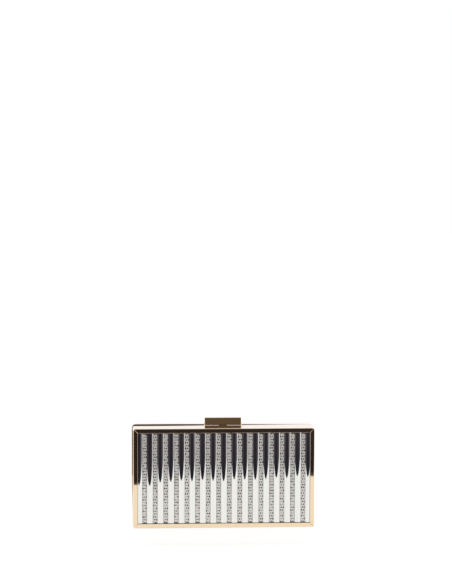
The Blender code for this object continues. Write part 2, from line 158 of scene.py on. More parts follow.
class PanelSettings(bpy.types.PropertyGroup):
    """Ribs and crystal strips of the front."""

    silver: colour("Silver", (0.885, 0.885, 0.88), "Colour of the ribs")
    crown: length("Crown", 0.00074, "Rise of a rib's dome above its sides")
    foot: length("Foot", 0.00051, "Height of a rib's straight sides")
    foot_gap: length("Foot gap", 0.0003, "How far ribs and strips end above their solids' foot")
    end_part: length("End part", 0.0015, "How much of an end rib shows beyond its middle")
    crystal: colour("Crystal", (1.0, 0.97, 0.93), "Colour of the stones")
    # Painted reflections: the colour of stones painted dark in place of the dark things they would mirror.
    crystal_shade: colour("Crystal shade", (0.05, 0.047, 0.043), "Colour of the darkest stones")
    # Partly painted shade: the bed is real, and its dark colour stands in for the shade between the stones.
    resin: colour("Resin", (0.12, 0.112, 0.104), "Colour of the bed between the stones")
    columns: count("Columns", 2, "Stones in one row of a strip")
    rows: count("Rows", 94, "Rows along one strip, each set between the stones of the next")
    seed: count("Seed", 7, "Which of the chance arrangements the stones take")
    column_pitch: length("Column pitch", 0.00192, "Distance from stone to stone in a row")
    row_pitch: length("Row pitch", 0.00100, "Distance from row to row")
    stone_radius: length("Stone radius", 0.00070, "Radius of a stone's girdle")
    stone_rise: length("Stone rise", 0.00036, "Height of a stone from its girdle to its table")
    girdle_height: length("Girdle height", 0.00043, "Height of the stones' girdles above the strip's back")
    cup_radius: length("Cup radius", 0.00071, "Radius of the silver cup round a stone")
    cup_height: length("Cup height", 0.00016, "Height of a cup")
    bed_height: length("Bed height", 0.00030, "Thickness of the glue bed that the cups stand on")
    rail_width: length("Rail width", 0.00013, "Width of the silver edge along a strip")
    rail_height: length("Rail height", 0.00052, "Height of that edge above the strip's back")
    stone_tilt: angle("Stone tilt", 4, "How far a stone may lean in its cup")


class CoverSettings(bpy.types.PropertyGroup):
    """Padded leather cover of the rear face."""

    leather: colour("Leather", (0.60, 0.59, 0.57), "Colour of the silvered leather")
    # Painted shade: the colour painted between the grains.
    crease_shade: colour("Crease shade", (0.20, 0.193, 0.183), "Colour between the grains")
    thread: colour("Thread", (0.36, 0.35, 0.335), "Colour of the stitches")
    seam_inset: length("Seam inset", 0.0032, "Distance of the stitches from the cover's edge")
    seam_depth: length("Seam depth", 0.00025, "How deep the stitches draw the leather in")
    seam_half: length("Seam half width", 0.0008, "How far to both sides they draw it in")
    edge_radius: length("Edge radius", 0.0005, "Rounding along the cover's edge")
    turned_edge: length("Turned edge", 0.0004, "Height of the upright edge where the leather is turned in")
    corner_radius: length("Corner radius", 0.0006, "Rounding of the cover's corners")
    inner_corner: length("Inner corner", 0.0004, "Least rounding of the corners further in")
    middle_half: length("Middle half height", 0.0015, "Half the height of the level middle")
    stitch: length("Stitch", 0.0021, "Length of a stitch")
    stitch_spacing: length("Stitch spacing", 0.0028, "Distance from stitch to stitch")
    stitch_width: length("Stitch width", 0.00050, "Thickness of the thread")
    fill: share("Fill", 0.75, "How tightly the cover is padded")


class LiningSettings(bpy.types.PropertyGroup):
    """Cloth-lined trays inside both halves."""

    cloth: colour("Cloth", (0.055, 0.048, 0.046), "Colour of the lining cloth")
    # Painted highlight: the colour of the threads where the weave rises.
    cloth_light: colour("Cloth light", (0.105, 0.094, 0.090), "Colour of the threads that catch the light")
    wall: length("Wall", 0.0015, "Thickness of a tray with its cloth")
    corner_radius: length("Corner radius", 0.0030, "Rounding of a tray's outer corners")
    inner_corner: length("Inner corner", 0.0008, "Least rounding of the corners further in")
    back_bevel: length("Back bevel", 0.0004, "Bevel along a tray's back")
    fold_radius: length("Fold radius", 0.0012, "Rounding between a tray's floor and its walls")
    notch_half: length("Notch half length", 0.0062, "Half the length of the gap for the clasp")
    notch_end: length("Notch end", 0.0166, "How far from the seam the gap for the clasp reaches")


class ClaspSettings(bpy.types.PropertyGroup):
    """Clasp bar above the case, and the steel parts below it."""

    edge_radius: length("Edge radius", 0.0007, "Rounding of the clasp bar's edges")
    face_lean: angle("Face lean", 6, "How far the clasp bar's face leans back")
    lip_drop: length("Lip drop", 0.00098, "How far the clasp bar's front reaches below its underside")
    lip_depth: length("Lip depth", 0.0010, "Thickness of the front where it reaches down")
    relief: length("Relief", 0.0005, "How far the underside is hollowed behind the front")
    socket_rise: length("Socket rise", 0.0028, "Depth of the hollow for the stem")
    socket_gap: length("Socket gap", 0.0003, "Room round the stem in its hollow")
    stem_front: length("Stem front", 0.0035, "Place of the stem's front behind the seam")
    stem_back: length("Stem back", 0.0065, "Place of the stem's back behind the seam")
    steel: colour("Steel", (0.60, 0.59, 0.57), "Colour of the steel parts")
    # Painted shade: the boards are coloured dark to stand for the shade in the gaps in front of them.
    board: colour("Board", (0.075, 0.055, 0.042), "Colour of the boards behind panel and cover")


class StageSettings(bpy.types.PropertyGroup):
    """Camera, floor and light."""

    camera_place: place("Camera place", (-0.1249, -2.0225, 0.4076), "Where the camera stands")
    camera_yaw: angle("Camera yaw", 3.610, "How far the camera looks to the right")
    camera_pitch: angle("Camera pitch", -4.555, "How far the camera looks up")
    camera_roll: angle("Camera roll", 0.195, "How far the camera leans")
    lens: amount("Lens", 119.41, "Focal length in millimetres")
    floor_near: length("Floor near edge", 0.3071, "Distance of the mirrored floor's front edge from the seam")
    floor_skew: amount("Floor skew", 0.08, "Slope of that edge from left to right")
    floor_reach: length("Floor reach", 6.0, "How far the floor reaches to the sides and back")
    well_half: length("Well half width", 0.11, "Half the width of the lower floor for the open half")
    well_front: length("Well front", 0.115, "How far the lower floor reaches in front of the seam")
    well_slope: length("Well slope", 0.15, "Width of the slope round the lower floor")
    well_back: length("Well back", 0.003, "How far the lower floor reaches behind the seam")
    well_depth: length("Well depth", 0.0215, "How much lower it is than the other floor")
    flag_distance: length("Flag distance", 6.0, "Distance of the dark flag and the light cards")
    flag_left: angle("Flag left", -62, "Where the dark flag begins, as seen from the clutch")
    flag_right: angle("Flag right", 45.5, "Where the dark flag ends")
    flag_low: length("Flag low", -3.0, "Height of the lower edge of flag and cards", -10)
    flag_high: length("Flag high", 16.0, "Height of the upper edge of the dark flag")
    card_end: angle("Card end", 110, "How far to both sides the light cards beside the flag reach")
    card_high: length("Card high", 2.0, "Height of the upper edge of the light cards")
    sky: amount("Sky", 1.05, "Light from all round")
    shine: amount("Shine", 1.18, "Brightness of the surroundings in metal")
    shine_tint: colour("Shine tint", (0.88, 0.907, 1.0), "Colour of the surroundings in metal")
    floor_paint: colour("Floor paint", (0.8, 0.8, 0.8), "Colour of the floor where light falls on it")
    floor_share: share("Floor share", 0.7, "How much of the floor that camera and metal see is its own white")
    floor_white: amount("Floor white", 1.2, "Brightness of the floor's own white to the camera")
    floor_shine: amount("Floor shine", 1.02, "Brightness of the floor's own white in metal")
    floor_tint: colour("Floor tint", (1.0, 0.987, 0.936), "Colour of the floor in metal")
    lamp: amount("Lamp", 14, "Power of the soft lamp overhead")
    lamp_size: length("Lamp size", 2.4, "Width of the lamp")
    lamp_place: place("Lamp place", (-0.5, -0.4, 2.6), "Where the lamp hangs")


# Node trees

class Wire:
    """A node's output socket. Arithmetic on it adds Math nodes to its tree."""

    def __init__(self, tree, socket):
        self.tree = tree
        self.socket = socket

    def math(self, operation, *others):
        """A Math node that takes this value first."""
        return math_node(self.tree, operation, self, *others)

    def __add__(self, other):
        return self.math("ADD", other)

    def __sub__(self, other):
        return self.math("SUBTRACT", other)

    def __rsub__(self, other):
        return math_node(self.tree, "SUBTRACT", other, self)

    def __mul__(self, other):
        return self.math("MULTIPLY", other)

    def __truediv__(self, other):
        return self.math("DIVIDE", other)

    def __pow__(self, other):
        return self.math("POWER", other)

    __radd__ = __add__
    __rmul__ = __mul__

    def step(self, low, high):
        """0 below low and 1 above high, with an even slope between."""
        sockets = {"Value": self, "From Min": low, "From Max": high}
        return add_node(self.tree, "ShaderNodeMapRange", {}, sockets)

    def split(self):
        """The three parts of a vector."""
        parts = add_node(self.tree, "ShaderNodeSeparateXYZ", {}, {"Vector": self})
        return [Wire(self.tree, socket) for socket in parts.socket.node.outputs]

    def beside(self, name):
        """Another output of the same node."""
        return Wire(self.tree, self.socket.node.outputs[name])


def math_node(tree, operation, *values):
    sockets = dict(zip(("Value", "Value_001"), values))
    return add_node(tree, "ShaderNodeMath", {"operation": operation}, sockets)


def vector(tree, **parts):
    """A vector from numbers or Wires for X, Y and Z. What isn't given is 0."""
    return add_node(tree, "ShaderNodeCombineXYZ", {}, parts)


def add_node(tree, kind, settings, sockets, output=None):
    """Add a node with its settings, then a value or a Wire at each input socket's identifier."""
    node = tree.nodes.new(kind)
    for name, value in settings.items():
        if name == "stops":
            set_stops(node.color_ramp, value)
        else:
            setattr(node, name, value)
    for identifier, value in sockets.items():
        socket = next(s for s in node.inputs if s.identifier == identifier)
        if isinstance(value, Wire):
            tree.links.new(value.socket, socket)
        else:
            socket.default_value = value
    return Wire(tree, node.outputs[output] if output else next(s for s in node.outputs if s.enabled))


def set_stops(ramp, stops):
    while len(ramp.elements) < len(stops):
        ramp.elements.new(1)
    for element, (position, shade) in zip(ramp.elements, stops):
        element.position = position
        element.color = (*shade, 1)


def mix(factor, first, second):
    """A colour between two colours."""
    sockets = {"Factor_Float": factor}
    for identifier, value in (("A_Color", first), ("B_Color", second)):
        sockets[identifier] = value if isinstance(value, Wire) else (*value, 1)
    return add_node(factor.tree, "ShaderNodeMix", {"data_type": "RGBA"}, sockets)


SOCKETS = {
    "metallic": "Metallic",
    "coat": "Coat Weight",
    "coat_roughness": "Coat Roughness",
    "specular": "Specular IOR Level",
    "sheen": "Sheen Weight",
    "sheen_roughness": "Sheen Roughness",
}


def toned(shade, factor):
    """A lighter or darker tone of a colour."""
    return [factor * part for part in shade]


def new_material(name):
    material = bpy.data.materials.new(name)
    material.use_nodes = True
    return material


class Finish:
    """A material round one Principled shader, with the patterns that feed it."""

    def __init__(self, name, base, **constants):
        self.material = new_material(name)
        self.tree = self.material.node_tree
        self.shader = self.tree.nodes["Principled BSDF"]
        self.shader.inputs["Base Color"].default_value = (*base, 1)
        for socket, value in constants.items():
            self.shader.inputs[SOCKETS[socket]].default_value = value
        self.place = add_node(self.tree, "ShaderNodeTexCoord", {}, {}, "Object")
        self.x, self.y, self.z = self.place.split()

    def stretched(self, per_metre):
        """The place in cycles: one number per metre for all directions, or one for each."""
        cycles = per_metre if isinstance(per_metre, tuple) else (per_metre,) * 3
        return add_node(self.tree, "ShaderNodeVectorMath", {"operation": "MULTIPLY"},
                        {"Vector": self.place, "Vector_001": cycles})

    def noise(self, per_metre, detail=2, offset=0):
        sockets = {"Vector": self.stretched(per_metre), "W": offset, "Scale": 1, "Detail": detail}
        return add_node(self.tree, "ShaderNodeTexNoise", {"noise_dimensions": "4D"}, sockets, "Fac")

    def cells(self, per_metre, feature):
        sockets = {"Vector": self.stretched(per_metre), "Scale": 1}
        return add_node(self.tree, "ShaderNodeTexVoronoi", {"feature": feature}, sockets, "Distance")

    def attribute(self, name):
        return add_node(self.tree, "ShaderNodeAttribute", {"attribute_name": name}, {}, "Fac")

    def feed(self, socket, wire):
        self.tree.links.new(wire.socket, self.shader.inputs[socket])

    def raise_by(self, height, distance, strength=1):
        """Let a height in cycles of 0 to 1 stand out by a distance in metres."""
        sockets = {"Height": height, "Distance": distance, "Strength": strength}
        self.feed("Normal", add_node(self.tree, "ShaderNodeBump", {}, sockets))


def new_tree(name, inputs):
    """A geometry node group with named inputs, and the Wire of each."""
    tree = bpy.data.node_groups.new(name, "GeometryNodeTree")
    for direction in ("INPUT", "OUTPUT"):
        tree.interface.new_socket("Geometry", in_out=direction, socket_type="NodeSocketGeometry")
    for label, kind in inputs.items():
        tree.interface.new_socket(label, in_out="INPUT", socket_type="NodeSocket" + kind)
    sockets = tree.nodes.new("NodeGroupInput").outputs
    return tree, {socket.name: Wire(tree, socket) for socket in sockets if socket.name}


def position(tree):
    """The three parts of a point's place."""
    return add_node(tree, "GeometryNodeInputPosition", {}, {}).split()


def copies(tree, points, shape, turn, **more):
    """A shape's copy on each point."""
    sockets = {"Points": points, "Instance": shape, "Rotation": turn, **more}
    return add_node(tree, "GeometryNodeInstanceOnPoints", {}, sockets)


def realised(tree, geometry):
    return add_node(tree, "GeometryNodeRealizeInstances", {}, {"Geometry": geometry})


def moved(tree, geometry, **sockets):
    """Geometry with its points at a Position, or moved by an Offset."""
    return add_node(tree, "GeometryNodeSetPosition", {}, {"Geometry": geometry, **sockets})


def chance(tree, kind, **sockets):
    """A random value for each point, instance or face."""
    return add_node(tree, "FunctionNodeRandomValue", {"data_type": kind}, sockets)


def stored(tree, geometry, domain, name, value):
    """Geometry with a number kept for each instance or face."""
    return add_node(tree, "GeometryNodeStoreNamedAttribute", {"data_type": "FLOAT", "domain": domain},
                    {"Geometry": geometry, "Name": name, "Value": value})


def end_tree(tree, geometry, material):
    """Realise the instances, give them their material and end the tree."""
    painted = add_node(tree, "GeometryNodeSetMaterial", {}, {
        "Geometry": realised(tree, geometry), "Material": material})
    tree.links.new(painted.socket, tree.nodes.new("NodeGroupOutput").inputs["Geometry"])


# Objects and meshes

def scene_object(name, data):
    """A new object in the scene, at the origin."""
    obj = bpy.data.objects.new(name, data)
    bpy.context.scene.collection.objects.link(obj)
    return obj


def grow(name, tree, values, source):
    """Run a tree on a mesh and return the mesh that it makes."""
    obj = scene_object(name, source)
    modifier = obj.modifiers.new(name, "NODES")
    modifier.node_group = tree
    for item in tree.interface.items_tree:
        if item.in_out == "INPUT" and item.name in values:
            modifier[item.identifier] = values[item.name]
    return bake(obj, name)


def bake(obj, name):
    """The object's mesh as its modifiers leave it. The object goes."""
    seen = obj.evaluated_get(bpy.context.evaluated_depsgraph_get())
    mesh = bpy.data.meshes.new_from_object(seen)
    mesh.name = name
    bpy.data.objects.remove(obj)
    return mesh


def mesh_from(name, bm):
    bmesh.ops.recalc_face_normals(bm, faces=bm.faces)
    mesh = bpy.data.meshes.new(name)
    bm.to_mesh(mesh)
    bm.free()
    return mesh


def smooth(mesh):
    mesh.shade_smooth()
    mesh.set_sharp_from_angle(angle=SMOOTH_ANGLE)
    return mesh


def skin(rings, joined=False):
    """Skin rings of equal point counts. The end rings are capped, or joined to each other."""
    bm = bmesh.new()
    loops = [[bm.verts.new(point) for point in ring] for ring in rings]
    followers = loops[1:] + loops[:1] if joined else loops[1:]
    for near, far in zip(loops, followers):
        for i in range(len(near)):
            j = (i + 1) % len(near)
            bm.faces.new((near[i], near[j], far[j], far[i]))
    if not joined:
        bm.faces.new(loops[0])
        bm.faces.new(loops[-1])
    return bm


def block(low, high):
    corners = ((low[1], low[2]), (high[1], low[2]), (high[1], high[2]), (low[1], high[2]))
    return skin([[(x, y, z) for y, z in corners] for x in (low[0], high[0])])


def circle(radius, steps, shift=0):
    """Places round a circle as pairs. The first one is turned on by shift steps."""
    turns = [math.tau * (step + shift) / steps for step in range(steps)]
    return [(radius * math.cos(turn), radius * math.sin(turn)) for turn in turns]


def rod(x_low, x_high, y, z, radius, steps):
    ring = circle(radius, steps)
    return skin([[(x, y + along, z + up) for along, up in ring] for x in (x_low, x_high)])


def carve(mesh, name, *cutters):
    """Cut solids out of a mesh."""
    target = scene_object(name, mesh)
    tools = [scene_object(name + "_cutter", mesh_from(name + "_cutter", cutter)) for cutter in cutters]
    for tool in tools:
        step = target.modifiers.new(tool.name, "BOOLEAN")
        step.operation = "DIFFERENCE"
        step.solver = "EXACT"
        step.object = tool
    carved = bake(target, name)
    for tool in tools:
        bpy.data.objects.remove(tool)
    return carved


def arc(radius, steps):
    """A quarter turn as (rise, inset) pairs, from the side of a solid to its face."""
    turns = [RIGHT_ANGLE * step / steps for step in range(steps + 1)]
    return [(radius * (1 - math.sin(turn)), radius * (1 - math.cos(turn))) for turn in turns]


def outline(low, high, radius, steps, cuts=(1, 1), mitre=0):
    """An upright rectangle with round corners, as (across, up, is_mitre) points.

    cuts divides the upright and the level sides. mitre is half the width of a line that
    crosses each corner.
    """
    corners = ((high[0], low[1], -90), (high[0], high[1], 0), (low[0], high[1], 90), (low[0], low[1], 180))
    arcs = []
    for corner_x, corner_z, start in corners:
        centre = Vector((corner_x + math.copysign(radius, -corner_x + (low[0] + high[0]) / 2),
                         corner_z + math.copysign(radius, -corner_z + (low[1] + high[1]) / 2)))
        points = []
        for step in range(steps + 1):
            if mitre and abs(step - steps / 2) == 1:
                continue
            turn = math.radians(start + 90 * step / steps)
            spoke = Vector((math.cos(turn), math.sin(turn)))
            if mitre and step == steps // 2:
                across = Vector((-spoke.y, spoke.x)) * mitre
                points += [(*(centre + spoke * radius + across * shift), shift == 0) for shift in (-1, 0, 1)]
            else:
                points.append((*(centre + spoke * radius), False))
        arcs.append(points)
    ring = []
    for points, followers, parts in zip(arcs, arcs[1:] + arcs[:1], cuts * 2):
        ring += points
        start, end = Vector(points[-1][:2]), Vector(followers[0][:2])
        near = SUPPORT / (end - start).length
        for along in [near] + [cut / parts for cut in range(1, parts)] + [1 - near]:
            ring.append((*start.lerp(end, along), False))
    return ring


def rounded_bar(low, high, radius, steps, lean):
    """A bar along X with all its edges rounded, whose front leans back."""
    rings = []
    for along, inset in end_rings(high.x - low.x, radius, steps):
        near, far = (low.y + inset, low.z + inset), (high.y - inset, high.z - inset)
        ring = []
        for y, z, _ in outline(near, far, max(radius - inset, WELD), steps):
            front_share = (high.y - y) / (high.y - low.y)
            ring.append((low.x + along, y + (z - low.z) * math.tan(lean) * front_share, z))
        rings.append(ring)
    return skin(rings)


def bar_relief(low, high, front, radius, steps):
    """What is cut from below a bar along X behind its front lip. The bar's other lower edges stay round."""
    rings = []
    under = low.z - 3 * radius
    for along, inset in end_rings(high.x - low.x, radius, steps):
        ring = [(front, under), (front, low.z + inset)]
        for rise, side_inset in arc(radius, steps):
            ring.append((high.y - rise, low.z + max(inset, side_inset)))
        ring += [(high.y + radius, low.z + radius), (high.y + radius, under)]
        rings.append([(low.x + along, y, z) for y, z in ring])
    start, end = [[(x + shift, y, z) for x, y, z in ring]
                  for ring, shift in ((rings[0], -radius), (rings[-1], radius))]
    return skin([start, *rings, end])


def end_rings(span, radius, steps):
    """Distances and insets of the rings along a bar with round ends."""
    start = [(rise, inset) for rise, inset in reversed(arc(radius, steps))]
    start.append((radius + SUPPORT, 0))
    return start + [(span - along, inset) for along, inset in reversed(start)]


def add_piece(name, mesh, material, body, nodes):
    """Show a finished mesh on its body, in place of CAD nodes."""
    if not mesh.materials:
        mesh.materials.append(material)
    obj = scene_object(name, mesh)
    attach(obj, body)
    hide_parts(*nodes)
    return obj


def paint(names, material):
    """Give CAD nodes a finish."""
    for name in names:
        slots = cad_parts[name].data.materials
        slots.clear()
        slots.append(material)


# Finishes

# Distances from the seam between which its painted shade fades, and heights between which wear at the foot
# does
SEAM_SHADE_FADE = (0.00016, 0.00040)
WEAR_FADE = (0.0004, 0.0030)
# Distances below the case's top between which the rocker's steel turns to gold plate
PLATING_FADE = (0.0016, 0.0012)
THREAD_SPACING = 0.00052


def gold_finish(settings):
    """Polished light gold plate: hazy, with hairlines, rubbed spots near the foot and painted shade in the
    seam.
    """
    finish = Finish("gold_plate", settings.gold, metallic=1)
    haze = finish.noise(60, detail=3)
    hairlines = finish.noise((2600, 300, 300))
    patches = finish.noise(420, detail=4, offset=3).step(0.58, 0.70)
    rubbed = patches * (1 - finish.z.step(*WEAR_FADE))
    # Painted shade: the plate is coloured darker within the seam between the halves.
    in_seam = 1 - finish.y.math("ABSOLUTE").step(*SEAM_SHADE_FADE)
    plate = mix(rubbed, settings.gold, settings.worn)
    finish.feed("Base Color", mix(in_seam * (haze * 0.4 + 0.5), plate, settings.seam_shade))
    finish.feed("Roughness", haze * 0.02 + rubbed * 0.20 + 0.028)
    finish.raise_by(hairlines, distance=4e-8)
    return finish.material


def silver_finish(settings):
    """Mirror silver of the ribs: faint streaks along the ribs, from drawing the metal."""
    finish = Finish("mirror_silver", settings.silver, metallic=1)
    streaks = finish.noise((2400, 300, 9))
    haze = finish.noise((220, 220, 60), offset=5)
    finish.feed("Base Color", mix(streaks.step(0.35, 0.75), settings.silver, toned(settings.silver, 0.93)))
    finish.feed("Roughness", haze * 0.02 + 0.022)
    finish.raise_by(streaks, distance=1.2e-6)
    return finish.material


def crystal_finish(settings):
    """Foil-backed glass with painted reflections: some stones are painted dark, and each facet a slightly
    different tone, in place of what stones and facets would mirror.
    """
    finish = Finish("crystal", settings.crystal, metallic=0.42, coat=1, coat_roughness=0.01)
    facet = finish.attribute("facet")
    # Painted reflections: a darker base colour by stone and by facet.
    dark = finish.attribute("stone").step(0.42, 0.80) * 0.95 + facet ** 3 * 0.05
    finish.feed("Base Color", mix(dark, settings.crystal, settings.crystal_shade))
    finish.feed("Roughness", facet * 0.12 + 0.05)
    return finish.material


def cup_finish(settings):
    """Bright silver cups and rails of the crystal strips."""
    finish = Finish("silver_cups", settings.silver, metallic=1)
    marks = finish.noise(1800)
    finish.feed("Roughness", marks * 0.12 + 0.12)
    finish.raise_by(marks, distance=4e-6)
    return finish.material


def resin_finish(settings):
    """Glue bed under the stones, coloured dark partly as painted shade between the stones."""
    finish = Finish("resin_bed", settings.resin)
    lumps = finish.noise(2500)
    finish.feed("Base Color", mix(lumps, settings.resin, toned(settings.resin, 2.2)))
    finish.feed("Roughness", lumps * 0.3 + 0.35)
    return finish.material


def leather_finish(settings):
    """Silvered leather with a fine pebbled grain and painted shade in its creases."""
    finish = Finish("silver_leather", settings.leather, metallic=0.9, specular=0.4)
    pebbles = finish.cells(760, "DISTANCE_TO_EDGE")
    folds = finish.noise(160, detail=4)
    creases = 1 - pebbles.step(0, 0.16)
    # Painted shade: the creases between the grains are coloured darker.
    finish.feed("Base Color", mix(creases * (folds * 0.7 + 0.3), settings.leather, settings.crease_shade))
    finish.feed("Roughness", creases * 0.25 + folds * 0.16 + 0.22)
    finish.raise_by(pebbles.step(0, 0.3) * 0.7 + folds * 0.6, distance=9e-5)
    return finish.material


def thread_finish(settings):
    """Twisted polyester thread."""
    finish = Finish("thread", settings.thread, sheen=0.3)
    twist = finish.noise(5200, detail=1)
    finish.feed("Base Color", mix(twist, settings.thread, toned(settings.thread, 0.6)))
    finish.feed("Roughness", twist * 0.2 + 0.6)
    finish.raise_by(twist, distance=3e-5)
    return finish.material


def cloth_finish(settings):
    """Plain woven lining cloth, glued over a stiff tray."""
    finish = Finish("lining_cloth", settings.cloth, sheen=0.35, sheen_roughness=0.5)
    threads = math.tau / THREAD_SPACING
    warp, weft = [(along * threads).math("SINE") for along in (finish.x, finish.z + finish.y)]
    weave = warp * weft * 0.5 + 0.5
    slubs = finish.noise((1400, 1400, 90), detail=3)
    wrinkles = finish.noise((28, 28, 45), detail=3, offset=2)
    # Painted highlight on the weave's raised threads. The slubs vary the tone by chance.
    finish.feed("Base Color", mix(weave * slubs, settings.cloth, settings.cloth_light))
    finish.feed("Roughness", slubs * 0.15 + 0.72)
    finish.raise_by(weave * 0.12 + slubs * 0.05 + wrinkles, distance=6e-4, strength=0.5)
    return finish.material


def board_finish(settings):
    """Fibre board, coloured dark as painted shade in the gaps in front of it."""
    finish = Finish("fibre_board", settings.board)
    fibres = finish.noise((900, 900, 3200), detail=3)
    finish.feed("Base Color", mix(fibres, settings.board, toned(settings.board, 1.7)))
    finish.feed("Roughness", fibres * 0.2 + 0.7)
    finish.raise_by(fibres, distance=3e-5)
    return finish.material


def steel_finish(settings):
    """Bright steel with a fine brushed grain."""
    finish = Finish("brushed_steel", settings.steel, metallic=1)
    grain = finish.noise((200, 6000, 6000), detail=3)
    stains = finish.noise(300, detail=3, offset=4).step(0.4, 0.8)
    finish.feed("Base Color", mix(stains, settings.steel, toned(settings.steel, 0.8)))
    finish.feed("Roughness", grain * 0.18 + 0.22)
    finish.raise_by(grain, distance=2e-6)
    return finish.material


def rocker_finish(settings, gold):
    """Steel below the case's top wall, gold plate on the stem above it."""
    finish = Finish("plated_rocker", settings.steel, metallic=1)
    grain = finish.noise((200, 6000, 6000), detail=3)
    plated = finish.z.step(*(case_height - below for below in PLATING_FADE))
    finish.feed("Base Color", mix(plated, settings.steel, gold))
    finish.feed("Roughness", (1 - plated) * grain * 0.2 + 0.10)
    finish.raise_by(grain, distance=1e-6)
    return finish.material


# Case

# Degrees that each rib leans back at its middle height, from left to right
RIB_LEANS = (0.44, 0.58, 0.16, 0.10, -0.04, 0.07, -0.03, 0.07, 0.15, -0.05, 0.0, 0.04, -0.04, -0.15, -0.10,
             -0.30, -0.20)
# Where the band is still fully proud and where it ends in the wall, along the case
BAND_FADE_START = -0.056
BAND_FADE_END = 0.101
# Where the band begins above the foot and how soon it is fully proud, as shares of the case's height
BAND_FOOT = 0.05
BAND_CLIMB = 0.45
# How open the mitres are at the top and at the lower left, as shares of the one at the lower right
TOP_MITRES = 0.28
LOWER_LEFT_MITRE = 0.1


def clamp(value):
    return min(max(value, 0), 1)


def lean_at(x):
    """How far the front leans back at its middle height, in radians: it isn't quite flat."""
    last = len(RIB_LEANS) - 1
    along = clamp(x / panel_pitch / last + 0.5) * last
    index = min(int(along), last - 1)
    part = along - index
    return math.radians(RIB_LEANS[index] * (1 - part) + RIB_LEANS[index + 1] * part)


def bow(x, z):
    """How far the front bends back at a place: an S along its height, straight at both ends."""
    return math.tan(lean_at(x)) * case_height / math.tau * math.sin(math.tau * (z / case_height - 0.5))


def band_share(x, z):
    """How proud the rear rim's band stands: fully at the upper left, and flush at the right and the foot."""
    along = clamp((BAND_FADE_END - x) / (BAND_FADE_END - BAND_FADE_START))
    return along * clamp((z / case_height - BAND_FOOT) / BAND_CLIMB)


def side_share(x):
    """How far a place is round a corner: 0 along the top and 1 on the sides."""
    return clamp((abs(x) - case_half) / band_rise * 2 + 1)


def mitre_share(x, z):
    """How open the mitre at a corner of the front is."""
    if z > case_height / 2:
        return TOP_MITRES
    return 1 if x > 0 else LOWER_LEFT_MITRE


def case_section(settings, rise):
    """The frame's section as (depth, inset, share) triples, from the rim round to the inside.

    A positive share is how deep the mitre is there, and a negative one how far the band stands proud.
    """
    rim = face_depth - seam_half
    bevel, flare, edge = settings.rim_bevel, settings.draft, settings.edge_radius
    section = [(rim, bevel - flare, -rise), (rim - bevel, -flare, -rise)]
    if rise:
        band = rim - settings.band_depth
        section += [(band + bevel, -flare, -rise), (band, -flare, 0)]
    section.append((edge + SUPPORT, 0, 0))
    section += [(depth, inset, 1 - depth / edge) for depth, inset in arc(edge, steps=8)]
    return section + [
        (0, edge + SUPPORT, 1),
        (0, settings.bar_width - settings.lip, 1),
        (settings.lip, settings.bar_width, 1),
        (settings.bar_thickness, settings.bar_width, 0),
        (settings.bar_thickness, settings.wall, 0),
        (rim, settings.wall, 0),
    ]


def case_ring(settings, inset):
    """The case's outline moved in by inset. Moved out, it keeps its foot and its greatest width."""
    radius = max(settings.corner_radius - inset, settings.inner_corner)
    beside = max(inset, -band_rise)
    low = (beside - case_half, max(inset, 0))
    high = (case_half - beside, case_height - inset)
    return outline(low, high, radius, steps=8, cuts=(24, 12), mitre=settings.mitre_width / 2)


def case_cutters(settings, side):
    """The hinge's hollow, the clasp's slot in the rear half and the clasp bar's seat in both."""
    hinge_height = (pin_low.z + pin_high.z) / 2
    reach = 2 * case_half
    top = case_height + 2 * band_rise
    half, slot_half, seat = settings.seat_half, settings.slot_half, case_height - settings.seat_depth
    hollow_radius = hinge_height / math.sin(settings.relief_angle)
    hollow = rod(-reach, reach, 0, hinge_height, hollow_radius, steps=64)
    if side < 0:
        return hollow, block((-half, 2 * settings.edge_radius - face_depth, case_height), (half, 0, top))
    slot = block((-slot_half, settings.slot_front, case_height - 2 * settings.wall),
                 (slot_half, settings.slot_back, top))
    return hollow, slot, block((-half, 0, seat), (half, settings.seat_back, top))


def case_mesh(name, settings, side, rise):
    """One half of the case: bars with mitred corners, rounded edges, walls and rim."""
    rings = []
    for level, (depth, inset, part) in enumerate(case_section(settings, rise)):
        ring = []
        near, far = case_ring(settings, inset), case_ring(settings, inset + min(part, 0))
        for (x, z, is_mitre), (far_x, far_z, _) in zip(near, far):
            sunk = depth + (settings.mitre_depth * mitre_share(x, z) * max(part, 0) if is_mitre else 0)
            bent = bow(x, z) + settings.bow_room if side < 0 and depth < settings.bar_thickness else 0
            proud = band_share(x, z)
            chamfer = settings.band_chamfer * proud * side_share(x) if rise else 0
            # The chamfer takes the rim's ring in from the side, and the next one away from the rim
            across = x + (far_x - x) * proud - (math.copysign(chamfer, x) if level == 0 else 0)
            sunk -= chamfer if level == 1 else 0
            ring.append((across, side * (face_depth - sunk) + bent, z + (far_z - z) * proud))
        rings.append(ring)
    mesh = mesh_from(name, skin(rings, joined=True))
    return smooth(carve(mesh, name, *case_cutters(settings, side)))


class CLUTCH_OT_case(bpy.types.Operator):
    """Make both halves of the gold case"""

    bl_idname = "clutch.case"
    bl_label = "Case"

    def execute(self, context):
        settings = context.scene.clutch_frame
        gold = gold_finish(settings)
        for half, side, rise in (("front", -1, 0), ("rear", 1, settings.band_height)):
            mesh = case_mesh(half + "_case", settings, side, rise)
            add_piece(half + "_case", mesh, gold, half + "_half", [half + "_frame"])
        paint(("front_hinge_leaf", "rear_hinge_leaf"), gold)
        return {"FINISHED"}


# Front panel

# How finely a rib is divided across and along
RIB_GRID = (29, 33)


